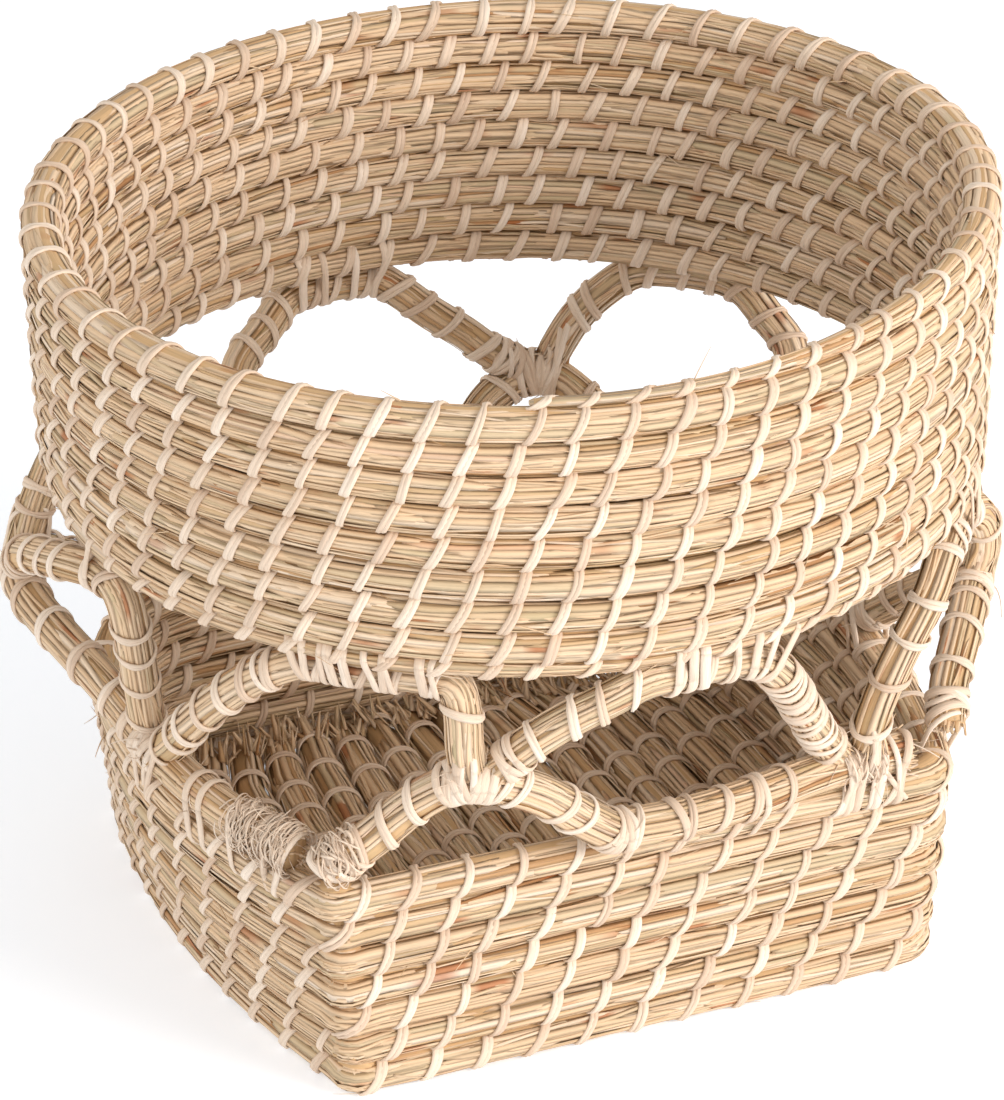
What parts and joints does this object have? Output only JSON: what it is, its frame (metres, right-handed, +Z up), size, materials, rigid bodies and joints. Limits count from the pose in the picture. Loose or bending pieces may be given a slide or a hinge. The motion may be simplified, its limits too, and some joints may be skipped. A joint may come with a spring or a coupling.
{
  "type": "belly basket",
  "caption": "Coiled grass basket with a squared base, a ring of open rope arches above it and a round open collar.",
  "frame": {"origin": "on the ground under the middle of the basket's box", "axes": "+Z up, the front wall of the squared base faces -Y, +X to the right seen from the front"},
  "size_m": [0.3498, 0.3384, 0.2786],
  "materials": {
    "dried_grass": "matte dried grass, straw to tan",
    "wrapping_strip": "matte split fibre strip, pale cream"
  },
  "bodies": {
    "root": {"arch_rope_back_corner": "dried_grass", "arch_rope_back_long": "dried_grass", "arch_rope_front_corner": "dried_grass", "arch_rope_front_long": "dried_grass", "arch_rope_left_corner": "dried_grass", "arch_rope_left_long": "dried_grass", "arch_rope_right_corner": "dried_grass", "arch_rope_right_long": "dried_grass", "base_coil": "dried_grass", "collar_coil": "dried_grass", "floor_bundle_01": "dried_grass", "floor_bundle_02": "dried_grass", "floor_bundle_03": "dried_grass", "floor_bundle_04": "dried_grass", "floor_bundle_05": "dried_grass", "floor_bundle_06": "dried_grass", "floor_bundle_07": "dried_grass", "floor_bundle_08": "dried_grass", "floor_bundle_09": "dried_grass", "floor_bundle_10": "dried_grass", "floor_bundle_11": "dried_grass", "floor_bundle_12": "dried_grass", "floor_bundle_13": "dried_grass", "floor_bundle_14": "dried_grass", "floor_bundle_15": "dried_grass", "lashing_corner_back": "wrapping_strip", "lashing_corner_front": "wrapping_strip", "lashing_corner_left": "wrapping_strip", "lashing_corner_right": "wrapping_strip", "lashing_foot_back": "wrapping_strip", "lashing_foot_front": "wrapping_strip", "lashing_foot_left": "wrapping_strip", "lashing_foot_right": "wrapping_strip", "lashing_landing_back": "wrapping_strip", "lashing_landing_front": "wrapping_strip", "lashing_landing_left": "wrapping_strip", "lashing_landing_right": "wrapping_strip", "lashing_peak_back": "wrapping_strip", "lashing_peak_front": "wrapping_strip", "lashing_peak_left": "wrapping_strip", "lashing_peak_right": "wrapping_strip", "wave_rope_back": "dried_grass", "wave_rope_front": "dried_grass", "wave_rope_left": "dried_grass", "wave_rope_right": "dried_grass"}
  },
  "joints": []
}
